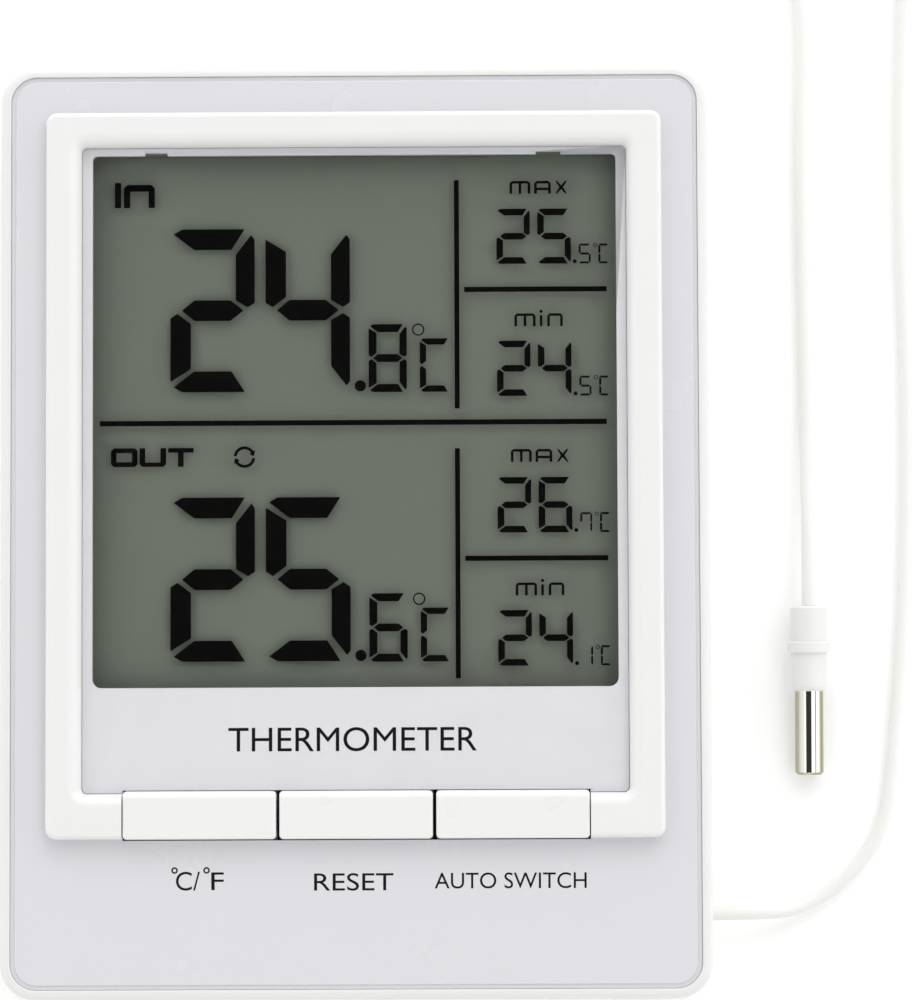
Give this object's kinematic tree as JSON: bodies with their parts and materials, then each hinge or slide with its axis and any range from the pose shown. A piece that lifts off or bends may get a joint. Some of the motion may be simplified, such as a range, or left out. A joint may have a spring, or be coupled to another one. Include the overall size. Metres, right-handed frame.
{
  "type": "maximum minimum thermometer",
  "caption": "Flat white digital maximum minimum thermometer with a large reflective display, keys under it, a fold-out stand and a wired outdoor probe.",
  "frame": {"origin": "centre of the back face, on the surface that the unit lies on", "axes": "+Z out of the display, +Y to the top of the display, +X to its right as it is read"},
  "size_m": [0.131, 0.2169, 0.0212],
  "materials": {
    "case_white": "satin moulded ABS",
    "face_plate": "smooth gloss, pale lilac grey",
    "frame_white": "satin moulded ABS",
    "key_white": "satin moulded ABS",
    "window_clear": "clear polished acrylic",
    "surround_pale": "smooth, pale lilac grey",
    "lcd_glass": "polished glass",
    "lcd_film": "polarising film",
    "lcd_back": "fine grained grey green reflector",
    "lcd_black": "flat black figures",
    "print_black": "pad printed ink",
    "holder_plastic": "moulded",
    "contact_rubber": "striped elastomer",
    "board_green": "solder mask over glass fibre",
    "epoxy_black": "cured epoxy",
    "crystal_can": "drawn can",
    "ceramic_tan": "fired ceramic",
    "resistor_black": "glazed chip",
    "screw_steel": "zinc plated",
    "switch_black": "moulded nylon",
    "contact_steel": "nickel plated spring steel",
    "plunger_plastic": "moulded nylon",
    "cell_jacket": "plain printed jacket",
    "door_white": "satin moulded ABS",
    "sensor_bead": "dipped epoxy",
    "lead_pvc": "smooth soft PVC",
    "gland_pvc": "smooth soft PVC",
    "boot_pvc": "moulded soft PVC",
    "sheath_nickel": "polished nickel plate",
    "wire_red": "PVC insulation",
    "tie_white": "paper twist tie"
  },
  "bodies": {
    "case": {"rear_housing": "case_white", "front_housing": "case_white", "front_plate": "face_plate", "bezel_frame": "frame_white", "display_window": "window_clear", "display_surround": "surround_pale", "lcd_front_glass": "lcd_glass", "lcd_rear_glass": "lcd_glass", "lcd_polariser": "lcd_film", "lcd_reflector": "lcd_back", "lcd_holder": "holder_plastic", "contact_strip": "contact_rubber", "circuit_board": "board_green", "chip_cap": "epoxy_black", "quartz_crystal": "crystal_can", "board_resistors": "resistor_black", "board_capacitors": "ceramic_tan", "board_screws": "screw_steel", "housing_screws": "screw_steel", "switch_bases": "switch_black", "switch_domes": "contact_steel", "battery_cell": "cell_jacket", "battery_spring": "contact_steel", "battery_contact": "contact_steel", "battery_wires": "wire_red", "room_sensor": "sensor_bead", "lead_gland": "gland_pvc", "lead_inner": "lead_pvc", "lead_to_coil": "lead_pvc", "lead_to_probe": "lead_pvc", "lead_coil": "lead_pvc", "coil_tie": "tie_white", "probe_boot": "boot_pvc", "probe_sheath": "sheath_nickel", "probe_bead": "sensor_bead"},
    "key_unit": {"key_unit": "key_white", "plunger_unit": "plunger_plastic"},
    "key_reset": {"key_reset": "key_white", "plunger_reset": "plunger_plastic"},
    "key_auto": {"key_auto": "key_white", "plunger_auto": "plunger_plastic"},
    "stand": {"stand_leg": "door_white"},
    "door": {"battery_door": "door_white"}
  },
  "joints": [
    {"name": "key_unit_press", "type": "slide", "parent": "case", "child": "key_unit", "axis": [0, 0, -1], "range_m": [0, 0.0006], "stiffness_N_per_m": 1500},
    {"name": "key_reset_press", "type": "slide", "parent": "case", "child": "key_reset", "axis": [0, 0, -1], "range_m": [0, 0.0006], "stiffness_N_per_m": 1500},
    {"name": "key_auto_press", "type": "slide", "parent": "case", "child": "key_auto", "axis": [0, 0, -1], "range_m": [0, 0.0006], "stiffness_N_per_m": 1500},
    {"name": "stand_hinge", "type": "hinge", "parent": "case", "child": "stand", "pos_m": [0, 0.022, 0.00175], "axis": [1, 0, 0], "range_deg": [0, 60]},
    {"name": "door_slide", "type": "slide", "parent": "case", "child": "door", "axis": [0, -1, 0], "range_m": [0, 0.018]}
  ]
}
